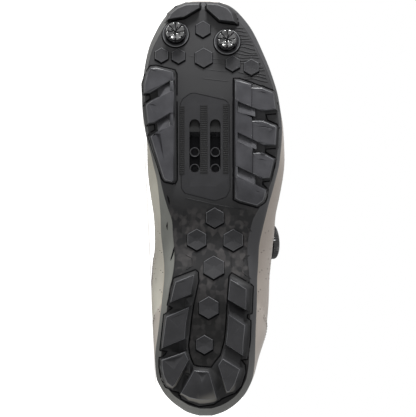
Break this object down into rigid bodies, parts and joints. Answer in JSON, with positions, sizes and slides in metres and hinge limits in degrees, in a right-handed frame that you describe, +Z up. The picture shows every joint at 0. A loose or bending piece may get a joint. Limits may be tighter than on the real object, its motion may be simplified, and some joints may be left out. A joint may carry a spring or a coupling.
{
  "type": "cycling shoe",
  "caption": "Left cycling shoe with a lugged cleat sole and a dial-laced upper, lying on its medial side.",
  "frame": {"origin": "on the floor, at the middle of the bounding box of the shoe as it lies", "axes": "+X from toe to heel, -Y the way the tread faces, +Z up, from the medial side on the floor to the lateral side"},
  "size_m": [0.2802, 0.1224, 0.0937],
  "materials": {
    "plate": "moulded nylon composite, satin",
    "tread": "moulded rubber, matt",
    "gloss_black": "glossy moulded plastic",
    "steel": "dark plated steel",
    "upper": "coated synthetic, warm grey",
    "lining": "padded mesh lining, dark grey",
    "insole": "moulded foam with a fabric face",
    "lace": "coated wire"
  },
  "bodies": {
    "root": {"outsole": "plate", "cleat_panel": "plate", "cleat_nut_plate": "steel", "tread_forefoot_medial": "tread", "tread_forefoot_lateral": "tread", "tread_heel": "tread", "tread_toe_medial": "tread", "tread_toe_lateral": "tread", "toe_stud_medial": "gloss_black", "toe_stud_lateral": "gloss_black", "upper": "upper", "tongue": "lining", "insole": "insole", "dial_base": "gloss_black", "dial_knob": "gloss_black", "lace_guide_medial_1": "gloss_black", "lace_guide_lateral_1": "gloss_black", "lace_guide_medial_2": "gloss_black", "lace_guide_lateral_2": "gloss_black", "lace_guide_medial_3": "gloss_black", "lace_guide_lateral_3": "gloss_black", "lace_guide_medial_4": "gloss_black", "lace_guide_lateral_4": "gloss_black", "lace_crossing_1": "lace", "lace_crossing_2": "lace", "lace_crossing_3": "lace", "lace_lead_medial": "lace", "lace_lead_lateral": "lace"}
  },
  "joints": []
}
